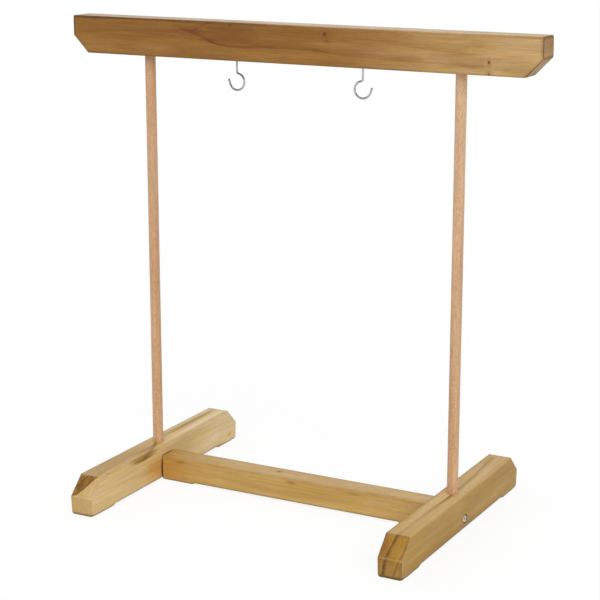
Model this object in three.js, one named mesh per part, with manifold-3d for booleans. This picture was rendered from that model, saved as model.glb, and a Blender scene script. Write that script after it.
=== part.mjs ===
// Wooden gong stand: two feet and a stretcher, two posts, a top beam and two screw hooks.
// Millimetres, +Z up. X runs along the beam, +X to the right, and the front is at -Y.
// The origin is on the floor, under the middle of the stand.

import * as THREE from 'three';
import { mergeVertices } from 'three/addons/utils/BufferGeometryUtils.js';
import Module from 'manifold-3d';

const wasm = await Module();
wasm.setup();

// Driving dimensions
const postSpacing = 784;
const postLength = 1000;
const postDiameter = 25;
const socketDepth = 28;
const footLength = 660;
const footWidth = 57;
const footHeight = 86;
const stretcherHeight = 60;
const stretcherWidth = 57;
const beamLength = 1170;
const beamHeight = 86;
const beamThickness = 62;
const hookSpacing = 318;

// Running gaps between pieces, and the length by which a cutter runs past the wood
const fitClearance = 0.3;
const overrun = 2;

// Feet: cut-off top corners, and pads left proud by a shallow relief along the underside
const footCornerRun = 42;
const footCornerDrop = 41;
const footPadLength = 88;
const footReliefDepth = 4;
const footReliefRun = 12;
const footArris = 2;
const footToeRadius = 5.5;

// Stretcher, relieved underneath like the feet
const stretcherPadLength = 84;
const stretcherReliefDepth = 3.5;
const stretcherReliefRun = 10;
const stretcherArris = 2;
const stretcherToeRadius = 5;

// Beam: cut-off lower end corners
const beamCornerRun = 39;
const beamCornerDrop = 40;
const beamArris = 1.8;

// Post ends are broken by a small chamfer
const postEndChamfer = 1.5;

// Bolted joint between foot and stretcher: a socket-head bolt, a washer, a barrel nut and a dowel
const boltDiameter = 10;
const boltLength = 90;
const boltHeadDiameter = 16;
const boltHeadHeight = 10;
const boltHeadChamfer = 1;
const boltPointChamfer = 1.2;
const boltAxisHeight = 25;
const boltAxisOffset = 11;
const hexKeySize = 8;
const hexSocketDepth = 5;
const boltHoleClearance = 0.5;
const counterboreDiameter = 22;
const headRecess = 0.5;
const washerDiameter = 20;
const washerThickness = 2;
const barrelNutDiameter = 15;
const barrelNutLength = 24;
const barrelNutSetback = 38;
const barrelNutChamfer = 0.8;
const barrelSlotWidth = 2;
const barrelSlotDepth = 2.5;
const boltBoreSpare = 4;
const dowelDiameter = 10;
const dowelLength = 40;
const dowelChamfer = 1.2;
const dowelAxisHeight = 30;
const dowelAxisOffset = -14;

// Screw hook, bent from one length of wire
const hookWireDiameter = 5;
const hookRingRadius = 19;
const hookBendRadius = 4.5;
const hookRingDrop = 50;
const hookTipRun = 10;
const hookScrewLength = 26;
const hookPointLength = 5;
const hookRingEnd = THREE.MathUtils.degToRad(342);
const leftHookTurn = THREE.MathUtils.degToRad(179);
const rightHookTurn = THREE.MathUtils.degToRad(5);

// Corners of an outline are rounded a little more than the arris that meets them
const cornerShare = 1.4;

// Numbers of facets
const arrisSegments = 2;
const cornerSegments = 4;
const postSegments = 40;
const boreSegments = 32;
const smallBoreSegments = 20;
const wireSegments = 12;
const hookSteps = 56;
const hexSides = 6;

// Places that follow from the sizes above
const beamUnderside = footHeight + postLength - 2 * socketDepth;
const postFoot = footHeight - socketDepth;
const stretcherLength = postSpacing - footWidth;
const counterboreDepth = headRecess + boltHeadHeight + washerThickness;
const washerSeatReach = footWidth - counterboreDepth;
const boltReach = boltLength - washerThickness - washerSeatReach;
const socketDiameter = postDiameter + 2 * fitClearance;
const boltHoleDiameter = boltDiameter + 2 * boltHoleClearance;
const dowelHoleDiameter = dowelDiameter + 2 * fitClearance;
const dowelHoleDepth = dowelLength / 2 + fitClearance;
const hookHoleDiameter = hookWireDiameter + 2 * fitClearance;
const hookHoleDepth = hookScrewLength + hookPointLength + fitClearance;

const axisX = new THREE.Vector3(1, 0, 0);
const axisY = new THREE.Vector3(0, 1, 0);
const axisZ = new THREE.Vector3(0, 0, 1);

// Finishes
function timberFinish() {
  return new THREE.MeshStandardMaterial({ color: 0xc49a5f, roughness: 0.6, metalness: 0 });
}

function beamFinish() {
  return new THREE.MeshStandardMaterial({ color: 0xa98150, roughness: 0.55, metalness: 0 });
}

function beechFinish() {
  return new THREE.MeshStandardMaterial({ color: 0xcf9f78, roughness: 0.65, metalness: 0 });
}

function zincFinish() {
  return new THREE.MeshStandardMaterial({ color: 0xc4c6c8, roughness: 0.25, metalness: 1 });
}

// A closed geometry as a solid that can be cut and joined
function toSolid(geometry) {
  const bare = geometry.clone();
  bare.deleteAttribute('normal');
  bare.deleteAttribute('uv');
  const merged = mergeVertices(bare);
  return new wasm.Manifold(new wasm.Mesh({
    numProp: 3,
    vertProperties: new Float32Array(merged.attributes.position.array),
    triVerts: new Uint32Array(merged.index.array),
  }));
}

function toGeometry(solid) {
  const result = solid.getMesh();
  const geometry = new THREE.BufferGeometry();
  geometry.setAttribute('position', new THREE.BufferAttribute(result.vertProperties, 3));
  geometry.setIndex(new THREE.BufferAttribute(result.triVerts, 1));
  geometry.computeVertexNormals();
  return geometry;
}

function cutFrom(geometry, cutters) {
  let solid = toSolid(geometry);
  for (const cutter of cutters) {
    solid = solid.subtract(toSolid(cutter));
  }
  return toGeometry(solid);
}

function piece(name, geometry, material) {
  const mesh = new THREE.Mesh(geometry, material);
  mesh.name = name;
  return mesh;
}

// A closed outline whose corners, given as [across, up, radius], are rounded by arcs
function roundedOutline(corners) {
  const shape = new THREE.Shape();
  corners.forEach((corner, i) => {
    const here = new THREE.Vector2(corner[0], corner[1]);
    const before = corners[(i + corners.length - 1) % corners.length];
    const after = corners[(i + 1) % corners.length];
    const back = new THREE.Vector2(before[0], before[1]).sub(here).normalize();
    const ahead = new THREE.Vector2(after[0], after[1]).sub(here).normalize();
    const halfAngle = Math.acos(THREE.MathUtils.clamp(back.dot(ahead), -1, 1)) / 2;
    const trim = corner[2] / Math.tan(halfAngle);
    const start = here.clone().addScaledVector(back, trim);
    const end = here.clone().addScaledVector(ahead, trim);
    const towards = back.clone().add(ahead).normalize();
    const centre = here.clone().addScaledVector(towards, corner[2] / Math.sin(halfAngle));
    const from = Math.atan2(start.y - centre.y, start.x - centre.x);
    const to = Math.atan2(end.y - centre.y, end.x - centre.x);
    const clockwise = back.cross(ahead) > 0;
    shape.absarc(centre.x, centre.y, corner[2], from, to, clockwise);
  });
  shape.closePath();
  return shape;
}

// A timber of the given outline, centred on its thickness, with a rounded arris all round both faces
function timber(outline, thickness, arris, basis) {
  const geometry = new THREE.ExtrudeGeometry(outline, {
    depth: thickness - 2 * arris,
    bevelEnabled: true,
    bevelThickness: arris,
    bevelSize: arris,
    bevelOffset: -arris,
    bevelSegments: arrisSegments,
    curveSegments: cornerSegments,
    steps: 1,
  });
  geometry.translate(0, 0, arris - thickness / 2);
  geometry.applyMatrix4(basis);
  return geometry;
}

// A cylinder along an axis, from a start point, in whole quarter turns so that its faces stay true
function bore(diameter, length, start, direction, segments) {
  const geometry = new THREE.CylinderGeometry(diameter / 2, diameter / 2, length, segments);
  geometry.translate(0, length / 2, 0);
  geometry.applyMatrix4(basisAlong(direction));
  geometry.translate(start.x, start.y, start.z);
  return geometry;
}

// Turns local +Y to the direction, which is plus or minus one of the three axes
function basisAlong(direction) {
  const side = Math.abs(direction.z) > 0 ? axisX.clone() : axisZ.clone();
  const third = new THREE.Vector3().crossVectors(side, direction);
  return new THREE.Matrix4().makeBasis(side, direction, third);
}

// Corners of a relieved underside: toe, pad, ramp up to the relief, and the same back down
function undersideCorners(halfLength, padLength, reliefDepth, reliefRun, toeRadius) {
  const padEnd = halfLength - padLength;
  return [
    [-halfLength, 0, toeRadius],
    [-padEnd, 0, toeRadius],
    [-padEnd + reliefRun, reliefDepth, reliefRun],
    [padEnd - reliefRun, reliefDepth, reliefRun],
    [padEnd, 0, toeRadius],
    [halfLength, 0, toeRadius],
  ];
}

// Feet
function footOutline() {
  const half = footLength / 2;
  const shoulder = footHeight - footCornerDrop;
  const round = cornerShare * footArris;
  return roundedOutline([
    ...undersideCorners(half, footPadLength, footReliefDepth, footReliefRun, footToeRadius),
    [half, shoulder, round],
    [half - footCornerRun, footHeight, round],
    [-half + footCornerRun, footHeight, round],
    [-half, shoulder, round],
  ]);
}

// side is +1 for the right foot and -1 for the left
function foot(name, side) {
  const basis = new THREE.Matrix4().makeBasis(axisY, axisZ, axisX);
  const blank = timber(footOutline(), footWidth, footArris, basis);
  const outward = axisX.clone().multiplyScalar(side);
  const outerFace = side * footWidth / 2;
  const socket = bore(socketDiameter, socketDepth + overrun,
    new THREE.Vector3(0, 0, postFoot), axisZ, boreSegments);
  const boltHole = bore(boltHoleDiameter, footWidth + 2 * overrun,
    new THREE.Vector3(-outerFace - side * overrun, boltAxisOffset, boltAxisHeight), outward, smallBoreSegments);
  const counterbore = bore(counterboreDiameter, counterboreDepth + overrun,
    new THREE.Vector3(outerFace - side * counterboreDepth, boltAxisOffset, boltAxisHeight), outward, boreSegments);
  const dowelHole = bore(dowelHoleDiameter, dowelHoleDepth + overrun,
    new THREE.Vector3(-outerFace - side * overrun, dowelAxisOffset, dowelAxisHeight), outward, smallBoreSegments);
  const mesh = piece(name, cutFrom(blank, [socket, boltHole, counterbore, dowelHole]), timberFinish());
  mesh.position.x = side * postSpacing / 2;
  return mesh;
}

// Stretcher between the feet
function stretcherOutline() {
  const half = stretcherLength / 2;
  const round = cornerShare * stretcherArris;
  return roundedOutline([
    ...undersideCorners(half, stretcherPadLength, stretcherReliefDepth, stretcherReliefRun, stretcherToeRadius),
    [half, stretcherHeight, round],
    [-half, stretcherHeight, round],
  ]);
}

function stretcher() {
  const basis = new THREE.Matrix4().makeBasis(axisX, axisZ, axisY.clone().negate());
  const blank = timber(stretcherOutline(), stretcherWidth, stretcherArris, basis);
  const cutters = [];
  for (const side of [-1, 1]) {
    const end = side * stretcherLength / 2;
    const inward = axisX.clone().multiplyScalar(-side);
    cutters.push(bore(boltHoleDiameter, boltReach + boltBoreSpare + overrun,
      new THREE.Vector3(end + side * overrun, boltAxisOffset, boltAxisHeight), inward, smallBoreSegments));
    cutters.push(bore(dowelHoleDiameter, dowelHoleDepth + overrun,
      new THREE.Vector3(end + side * overrun, dowelAxisOffset, dowelAxisHeight), inward, smallBoreSegments));
    const nutHoleTop = boltAxisHeight + barrelNutLength / 2 + fitClearance;
    cutters.push(bore(barrelNutDiameter + 2 * fitClearance, nutHoleTop + overrun,
      new THREE.Vector3(end - side * barrelNutSetback, boltAxisOffset, -overrun), axisZ, boreSegments));
  }
  return piece('stretcher', cutFrom(blank, cutters), timberFinish());
}

// Posts
function post(name, side) {
  const radius = postDiameter / 2;
  const profile = [
    new THREE.Vector2(0, 0),
    new THREE.Vector2(radius - postEndChamfer, 0),
    new THREE.Vector2(radius, postEndChamfer),
    new THREE.Vector2(radius, postLength - postEndChamfer),
    new THREE.Vector2(radius - postEndChamfer, postLength),
    new THREE.Vector2(0, postLength),
  ];
  const geometry = new THREE.LatheGeometry(profile, postSegments);
  geometry.applyMatrix4(basisAlong(axisZ));
  const mesh = piece(name, geometry, beechFinish());
  mesh.position.set(side * postSpacing / 2, 0, postFoot);
  return mesh;
}

// Beam
function beamOutline() {
  const half = beamLength / 2;
  const round = cornerShare * beamArris;
  return roundedOutline([
    [-half + beamCornerRun, 0, round],
    [half - beamCornerRun, 0, round],
    [half, beamCornerDrop, round],
    [half, beamHeight, round],
    [-half, beamHeight, round],
    [-half, beamCornerDrop, round],
  ]);
}

function beam() {
  const basis = new THREE.Matrix4().makeBasis(axisX, axisZ, axisY.clone().negate());
  const blank = timber(beamOutline(), beamThickness, beamArris, basis);
  const cutters = [];
  for (const side of [-1, 1]) {
    cutters.push(bore(socketDiameter, socketDepth + overrun,
      new THREE.Vector3(side * postSpacing / 2, 0, -overrun), axisZ, boreSegments));
    cutters.push(bore(hookHoleDiameter, hookHoleDepth + overrun,
      new THREE.Vector3(side * hookSpacing / 2, 0, -overrun), axisZ, smallBoreSegments));
  }
  const mesh = piece('top_beam', cutFrom(blank, cutters), beamFinish());
  mesh.position.z = beamUnderside;
  return mesh;
}

// The bent wire's centre line: screw shank, tight bend, ring and straight tip, in the XZ plane
function hookCentreLine() {
  const bendHeight = -hookRingDrop + Math.sqrt(hookRingRadius * (hookRingRadius + 2 * hookBendRadius));
  const bendCentre = new THREE.Vector2(-hookBendRadius, bendHeight);
  const ringCentre = new THREE.Vector2(0, -hookRingDrop);
  const ringStart = Math.atan2(bendCentre.y - ringCentre.y, bendCentre.x - ringCentre.x);
  const path = new THREE.CurvePath();
  path.add(new THREE.LineCurve3(new THREE.Vector3(0, 0, hookScrewLength), new THREE.Vector3(0, 0, bendHeight)));
  path.add(new ArcXZ(bendCentre, hookBendRadius, 0, ringStart - Math.PI));
  path.add(new ArcXZ(ringCentre, hookRingRadius, ringStart, hookRingEnd));
  const ringEndPoint = new THREE.Vector3(
    ringCentre.x + hookRingRadius * Math.cos(hookRingEnd), 0, ringCentre.y + hookRingRadius * Math.sin(hookRingEnd));
  const tipDirection = new THREE.Vector3(-Math.sin(hookRingEnd), 0, Math.cos(hookRingEnd));
  path.add(new THREE.LineCurve3(ringEndPoint, ringEndPoint.clone().addScaledVector(tipDirection, hookTipRun)));
  return path;
}

class ArcXZ extends THREE.Curve {
  constructor(centre, radius, from, to) {
    super();
    this.centre = centre;
    this.radius = radius;
    this.from = from;
    this.to = to;
  }

  getPoint(t, target = new THREE.Vector3()) {
    const angle = this.from + (this.to - this.from) * t;
    return target.set(
      this.centre.x + this.radius * Math.cos(angle), 0, this.centre.y + this.radius * Math.sin(angle));
  }
}

function wireSection() {
  const section = new THREE.Shape();
  section.absarc(0, 0, hookWireDiameter / 2, 0, 2 * Math.PI, false);
  return section;
}

function hook(name, side, turn) {
  const path = hookCentreLine();
  const wire = new THREE.ExtrudeGeometry(wireSection(), {
    extrudePath: path, steps: hookSteps, curveSegments: wireSegments / 2, bevelEnabled: false,
  });
  const radius = hookWireDiameter / 2;
  const point = new THREE.ConeGeometry(radius, hookPointLength, wireSegments);
  point.translate(0, hookPointLength / 2, 0);
  point.applyMatrix4(basisAlong(axisZ));
  point.translate(0, 0, hookScrewLength);
  const tip = new THREE.SphereGeometry(radius, wireSegments, wireSegments / 2);
  const tipCentre = path.getPoint(1);
  tip.translate(tipCentre.x, tipCentre.y, tipCentre.z);
  const mesh = piece(name, toGeometry(toSolid(wire).add(toSolid(point)).add(toSolid(tip))), zincFinish());
  mesh.position.set(side * hookSpacing / 2, 0, beamUnderside);
  mesh.rotation.z = turn;
  return mesh;
}

// A revolved fastener on the joint's bolt axis: its local +Y points outward, away from the stretcher
function turnedAlongX(profile, side, segments) {
  const geometry = new THREE.LatheGeometry(profile, segments);
  geometry.applyMatrix4(basisAlong(axisX.clone().multiplyScalar(side)));
  return geometry;
}

// Socket-head bolt, measured from the washer's outer face
function footBolt(name, side) {
  const shank = boltDiameter / 2;
  const head = boltHeadDiameter / 2;
  const blank = turnedAlongX([
    new THREE.Vector2(0, -boltLength),
    new THREE.Vector2(shank - boltPointChamfer, -boltLength),
    new THREE.Vector2(shank, -boltLength + boltPointChamfer),
    new THREE.Vector2(shank, 0),
    new THREE.Vector2(head, 0),
    new THREE.Vector2(head, boltHeadHeight - boltHeadChamfer),
    new THREE.Vector2(head - boltHeadChamfer, boltHeadHeight),
    new THREE.Vector2(0, boltHeadHeight),
  ], side, boreSegments);
  const cornerDiameter = hexKeySize / Math.cos(Math.PI / hexSides);
  const socket = bore(cornerDiameter, hexSocketDepth + overrun,
    new THREE.Vector3(side * (boltHeadHeight - hexSocketDepth), 0, 0), axisX.clone().multiplyScalar(side), hexSides);
  const mesh = piece(name, cutFrom(blank, [socket]), zincFinish());
  mesh.position.set(side * (stretcherLength / 2 + washerSeatReach + washerThickness), boltAxisOffset, boltAxisHeight);
  return mesh;
}

function footWasher(name, side) {
  const outer = washerDiameter / 2;
  const inner = boltHoleDiameter / 2;
  const geometry = turnedAlongX([
    new THREE.Vector2(inner, 0),
    new THREE.Vector2(outer, 0),
    new THREE.Vector2(outer, washerThickness),
    new THREE.Vector2(inner, washerThickness),
    new THREE.Vector2(inner, 0),
  ], side, boreSegments);
  const mesh = piece(name, geometry, zincFinish());
  mesh.position.set(side * (stretcherLength / 2 + washerSeatReach), boltAxisOffset, boltAxisHeight);
  return mesh;
}

// Barrel nut: an upright cylinder with a cross hole for the bolt and a slot for turning it into line
function barrelNut(name, side) {
  const radius = barrelNutDiameter / 2;
  const blank = new THREE.LatheGeometry([
    new THREE.Vector2(0, -barrelNutLength / 2),
    new THREE.Vector2(radius - barrelNutChamfer, -barrelNutLength / 2),
    new THREE.Vector2(radius, -barrelNutLength / 2 + barrelNutChamfer),
    new THREE.Vector2(radius, barrelNutLength / 2 - barrelNutChamfer),
    new THREE.Vector2(radius - barrelNutChamfer, barrelNutLength / 2),
    new THREE.Vector2(0, barrelNutLength / 2),
  ], boreSegments);
  blank.applyMatrix4(basisAlong(axisZ));
  const crossHole = bore(boltDiameter + 2 * fitClearance, barrelNutDiameter + 2 * overrun,
    new THREE.Vector3(-radius - overrun, 0, 0), axisX, smallBoreSegments);
  const slot = new THREE.BoxGeometry(barrelNutDiameter + 2 * overrun, barrelSlotWidth, 2 * barrelSlotDepth);
  slot.translate(0, 0, -barrelNutLength / 2);
  const mesh = piece(name, cutFrom(blank, [crossHole, slot]), zincFinish());
  mesh.position.set(side * (stretcherLength / 2 - barrelNutSetback), boltAxisOffset, boltAxisHeight);
  return mesh;
}

function locatingDowel(name, side) {
  const radius = dowelDiameter / 2;
  const half = dowelLength / 2;
  const geometry = turnedAlongX([
    new THREE.Vector2(0, -half),
    new THREE.Vector2(radius - dowelChamfer, -half),
    new THREE.Vector2(radius, -half + dowelChamfer),
    new THREE.Vector2(radius, half - dowelChamfer),
    new THREE.Vector2(radius - dowelChamfer, half),
    new THREE.Vector2(0, half),
  ], side, smallBoreSegments);
  const mesh = piece(name, geometry, beechFinish());
  mesh.position.set(side * stretcherLength / 2, dowelAxisOffset, dowelAxisHeight);
  return mesh;
}

const stand = new THREE.Group();
stand.add(beam(), stretcher());
for (const [word, side] of [['left', -1], ['right', 1]]) {
  stand.add(
    post(`${word}_post`, side),
    foot(`${word}_foot`, side),
    footBolt(`${word}_foot_bolt`, side),
    footWasher(`${word}_foot_washer`, side),
    barrelNut(`${word}_barrel_nut`, side),
    locatingDowel(`${word}_locating_dowel`, side),
  );
}
stand.add(hook('left_hook', -1, leftHookTurn), hook('right_hook', 1, rightHookTurn));

export default stand;
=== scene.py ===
# Gong stand: oiled timber feet, stretcher and beam, beech posts, plated screw hooks and furniture bolts.
# Metres, +Z up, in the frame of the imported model. X runs along the beam and the front is at -Y.
# Lengths in the dictionaries are in millimetres unless a note says otherwise, and shares and
# strengths run from 0 to 1.
from math import acos, atan2, ceil, cos, hypot, pi, radians, sin, sqrt, tan

import bmesh
import bpy
from mathutils import Matrix, Vector


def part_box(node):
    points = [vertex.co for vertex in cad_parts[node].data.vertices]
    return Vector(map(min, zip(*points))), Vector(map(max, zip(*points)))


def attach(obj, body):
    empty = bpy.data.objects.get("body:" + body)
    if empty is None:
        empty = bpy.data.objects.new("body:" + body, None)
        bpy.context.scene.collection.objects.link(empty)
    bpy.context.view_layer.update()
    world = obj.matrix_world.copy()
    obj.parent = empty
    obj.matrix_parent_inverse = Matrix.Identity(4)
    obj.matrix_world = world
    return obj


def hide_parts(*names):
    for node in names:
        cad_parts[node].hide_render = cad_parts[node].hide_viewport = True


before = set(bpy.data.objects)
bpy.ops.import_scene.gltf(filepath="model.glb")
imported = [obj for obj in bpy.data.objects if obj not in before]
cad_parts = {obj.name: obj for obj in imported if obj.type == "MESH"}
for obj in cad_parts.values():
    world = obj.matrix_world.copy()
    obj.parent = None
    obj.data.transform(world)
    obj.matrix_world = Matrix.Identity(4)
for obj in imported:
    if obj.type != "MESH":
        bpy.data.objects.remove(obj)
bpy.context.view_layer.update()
mm = 0.001
sides = (("left", -1), ("right", 1))
print("frame loaded,", len(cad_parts), "nodes")


def inMetres(values):
    return tuple(value * mm for value in values)


# sRGB numbers from 0 to 255 as a linear colour
def paint(red, green, blue):
    linear = [((v / 255 + 0.055) / 1.055) ** 2.4 if v > 10 else v / 255 / 12.92 for v in (red, green, blue)]
    return (*linear, 1.0)


# Small tools for nodes. A value may be a socket or a plain number, colour or vector
def link(tree, value, socket):
    if isinstance(value, bpy.types.NodeSocket):
        tree.links.new(value, socket)
    else:
        socket.default_value = value


def add(tree, kind, inputs=None, **options):
    node = tree.nodes.new("ShaderNode" + kind)
    for name, value in options.items():
        setattr(node, name, value)
    for name, value in (inputs or {}).items():
        link(tree, value, node.inputs[name])
    return node


def calc(tree, operation, *values, **options):
    return add(tree, "Math", dict(enumerate(values)), operation=operation, **options).outputs[0]


def plus(tree, total, *others):
    for other in others:
        total = calc(tree, "ADD", total, other)
    return total


def times(tree, total, *others):
    for other in others:
        total = calc(tree, "MULTIPLY", total, other)
    return total


def calcVector(tree, operation, first, second=None, output="Vector"):
    inputs = {0: first}
    if second is not None:
        inputs["Scale" if operation == "SCALE" else 1] = second
    return add(tree, "VectorMath", inputs, operation=operation).outputs[output]


def inMm(tree, place):
    return calcVector(tree, "SCALE", place, 1 / mm)


def split(tree, vector):
    return add(tree, "SeparateXYZ", {0: vector}).outputs


def join(tree, x, y=0.0, z=0.0):
    return add(tree, "CombineXYZ", {0: x, 1: y, 2: z}).outputs[0]


def ramp(tree, value, low, high, toLow=0.0, toHigh=1.0, shape="SMOOTHSTEP"):
    inputs = {"Value": value, "From Min": low, "From Max": high, "To Min": toLow, "To Max": toHigh}
    return add(tree, "MapRange", inputs, interpolation_type=shape, clamp=True).outputs["Result"]


# One colour laid over another, by the product of the shares
def lay(tree, under, over, *shares, mode="MIX"):
    inputs = {0: times(tree, *shares), 6: under, 7: over}
    return add(tree, "Mix", inputs, data_type="RGBA", blend_type=mode, clamp_factor=True).outputs[2]


def tinted(tree, colour, red, green, blue):
    return lay(tree, colour, join(tree, red, green, blue), 1.0, mode="MULTIPLY")


# Noise of a given size along and across the board. It runs from about 0.3 to 0.7, so most ramps do too
def noise(tree, place, sizes, detail=2.0, rough=0.5, output="Fac"):
    stretched = calcVector(tree, "MULTIPLY", place, tuple(1 / size for size in sizes))
    inputs = {"Vector": stretched, "Scale": 1.0, "Detail": detail, "Roughness": rough}
    return add(tree, "TexNoise", inputs).outputs[output]


# Several noises added by their shares
def layered(tree, place, *layers):
    return plus(tree, *(times(tree, noise(tree, place, *settings), share) for share, *settings in layers))


# A value over a run, drawn through chosen points. Their first numbers are millimetres along the board
def pathCurve(tree, along, points, unit=1):
    xs = [x * mm for x, _ in points]
    ys = [y * unit for _, y in points]
    left, right = min(xs), max(xs)
    low, high = min(ys) - mm, max(ys) + mm
    node = add(tree, "FloatCurve", {"Factor": 1.0, "Value": ramp(tree, along, left, right, shape="LINEAR")})
    curve = node.mapping.curves[0]
    while len(curve.points) < len(points):
        curve.points.new(0.5, 0.5)
    for knot, x, y in zip(curve.points, xs, ys):
        knot.location = ((x - left) / (right - left), (y - low) / (high - low))
    node.mapping.update()
    return ramp(tree, node.outputs[0], 0.0, 1.0, low, high, shape="LINEAR")


def startGroup(name, inputs):
    tree = bpy.data.node_groups.new(name, "ShaderNodeTree")
    for label, value in {"Place": (0, 0, 0), **inputs}.items():
        kind = "NodeSocketVector" if isinstance(value, tuple) else "NodeSocketFloat"
        tree.interface.new_socket(name=label, in_out="INPUT", socket_type=kind).default_value = value
    return tree, tree.nodes.new("NodeGroupInput").outputs


def endGroup(tree, made):
    for label in made:
        tree.interface.new_socket(name=label, in_out="OUTPUT", socket_type="NodeSocketFloat")
    result = tree.nodes.new("NodeGroupOutput")
    for label, value in made.items():
        link(tree, value, result.inputs[label])
    return tree


def placeGroup(tree, name, place, inputs):
    return add(tree, "Group", {"Place": place, **inputs}, node_tree=groups[name]).outputs


# Growth rings about a pith that runs along the board, with fibres, pores and slow changes of tone
def makeGrain():
    tree, given = startGroup("boardGrain", {"Pith": (0, 0, 0), "Ring Gap": 3.4 * mm, "Waver": 7 * mm,
                                            "Swirl": 0.0})
    place = inMm(tree, given["Place"])
    wander = noise(tree, place, (260, 80, 80), 2.5, 0.5, "Color")
    wander = calcVector(tree, "SUBTRACT", wander, (0.5, 0.5, 0.5))
    wander = calcVector(tree, "SCALE", wander, times(tree, given["Waver"], 2 / mm))
    fromPith = calcVector(tree, "SUBTRACT", place, inMm(tree, given["Pith"]))
    fromPith = calcVector(tree, "MULTIPLY", calcVector(tree, "ADD", fromPith, wander), (0, 1, 1))
    radius = calcVector(tree, "LENGTH", fromPith, output="Value")
    radius = plus(tree, radius, calc(tree, "DIVIDE", given["Swirl"], mm))
    turns = calc(tree, "DIVIDE", radius, calc(tree, "DIVIDE", given["Ring Gap"], mm))
    uneven = noise(tree, join(tree, turns), (2.6, 1, 1), 1.0)  # wide and narrow years
    turns = plus(tree, turns, times(tree, uneven, 1.6))
    inRing = calc(tree, "FRACT", turns)
    late = times(tree, ramp(tree, inRing, 0.30, 0.90), ramp(tree, inRing, 0.92, 1.0, 1.0, 0.0))
    along = calc(tree, "DIVIDE", split(tree, place)[0], 200)
    strength = noise(tree, join(tree, turns, along), (3, 1, 1), 1.0)  # some rings are faint
    return endGroup(tree, {
        "Rings": times(tree, late, ramp(tree, strength, 0.3, 0.7, 0.35, 1.0)),
        "Streaks": layered(tree, place, (0.4, (240, 13, 13)), (0.2, (330, 4, 4), 3.0, 0.55),
                           (0.4, (34, 3, 3), 2.0, 0.6)),
        "Fibres": layered(tree, place, (0.6, (110, 1.7, 1.7), 3.0, 0.6), (0.4, (34, 0.5, 0.5), 2.0, 0.6)),
        "Pores": ramp(tree, noise(tree, place, (7.5, 0.42, 0.42), 1.0), 0.60, 0.74),
        "Cloud": noise(tree, place, (270, 42, 42), 2.0, 0.45),
        "Hue": noise(tree, calcVector(tree, "ADD", place, (400, 90, 30)), (52, 15, 15)),
    })


# A soft-edged patch of colour, such as a stain, a pin knot's core or the shade round it, and on some
# boards painted light and painted shade
def makePatch():
    tree, given = startGroup("tonePatch", {"Centre": (0, 0, 0), "Reach": (0.05, 0.05, 0.05), "Ragged": 0.25,
                                           "Grain Run": 6.0})
    offset = calcVector(tree, "SUBTRACT", given["Place"], given["Centre"])
    offset = calcVector(tree, "DIVIDE", offset, given["Reach"])
    x, y, z = split(tree, calcVector(tree, "SCALE", offset, 1.6))
    x = calc(tree, "DIVIDE", x, given["Grain Run"])
    ragged = noise(tree, join(tree, x, y, z), (0.35, 0.35, 0.35), 3.0, 0.6)
    ragged = times(tree, calc(tree, "SUBTRACT", ragged, 0.5), times(tree, given["Ragged"], 4.0))
    away = plus(tree, calcVector(tree, "LENGTH", offset, output="Value"), ragged)
    return endGroup(tree, {"Patch": ramp(tree, away, 0.15, 1.0, 1.0, 0.0),
                           "Core": ramp(tree, away, 0.55, 0.95, 1.0, 0.0)})


# A thin dark line, crisp on one side and fading on the other: a sheet of heartwood, and on the left
# foot's top painted shade beside the post
def makeHeartAndShadeLine():
    tree, given = startGroup("heartAndShadeLine", {"Offset": 0.0, "Crisp": 0.8 * mm, "Fading": 5 * mm,
                                           "Reach": 20 * mm})
    place = inMm(tree, given["Place"])
    shake = calc(tree, "SUBTRACT", noise(tree, place, (28, 9, 9), 3.0, 0.55), 0.5)
    offset = plus(tree, given["Offset"], times(tree, shake, 4.2 * mm))
    crispSide = ramp(tree, offset, times(tree, given["Crisp"], -1.0), 0.0)
    fadingSide = calc(tree, "POWER", ramp(tree, offset, 0.0, given["Fading"], 1.0, 0.0), 1.3)
    breaks = ramp(tree, noise(tree, place, (70, 12, 12)), 0.34, 0.60, 0.6, 1.0)
    return endGroup(tree, {
        "Line": times(tree, crispSide, fadingSide, breaks),
        "Shade": times(tree, crispSide, ramp(tree, offset, 0.0, given["Reach"], 1.0, 0.0)),
    })


# How far the edges are rubbed, from the arris attribute that the meshes carry
def makeWear():
    tree, given = startGroup("arrisWear", {"Patchiness": 0.5})
    edge = add(tree, "Attribute", attribute_type="GEOMETRY", attribute_name="arris").outputs["Fac"]
    patches = noise(tree, inMm(tree, given["Place"]), (38, 16, 16), 3.0, 0.6)
    low = calc(tree, "SUBTRACT", 0.5, times(tree, given["Patchiness"], 0.3))
    rubbed = ramp(tree, patches, low, plus(tree, low, 0.3))
    return endGroup(tree, {"Rubbed": times(tree, edge, rubbed), "Edge": edge})


# Wiped oil and handling: slow changes of sheen and the last marks of sanding
def makeSheen():
    tree, given = startGroup("oilSheen", {"Low": 0.34, "High": 0.52})
    place = inMm(tree, given["Place"])
    wiped = noise(tree, place, (120, 34, 34), 3.0, 0.55)
    return endGroup(tree, {"Roughness": ramp(tree, wiped, 0.3, 0.7, given["Low"], given["High"]),
                           "Sanding": noise(tree, place, (16, 0.9, 0.9), 2.0, 0.6)})


# Plating: cloudy tone, drawn lines along the wire and a few dull spots
def makePlating():
    tree, given = startGroup("platingMarks", {"Cloud Size": 6 * mm})
    place = calcVector(tree, "SCALE", given["Place"], calc(tree, "DIVIDE", 1.0, given["Cloud Size"]))
    return endGroup(tree, {"Cloud": noise(tree, place, (1, 1, 1), 3.0, 0.55),
                           "Lines": noise(tree, place, (0.9, 0.06, 0.06), 2.0, 0.6),
                           "Spots": ramp(tree, noise(tree, place, (0.16, 0.16, 0.16)), 0.66, 0.76)})


groups = {"grain": makeGrain(), "patch": makePatch(), "heartAndShadeLine": makeHeartAndShadeLine(), "wear": makeWear(),
          "sheen": makeSheen(), "plating": makePlating()}
print("shader groups built:", ", ".join(groups))


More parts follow.
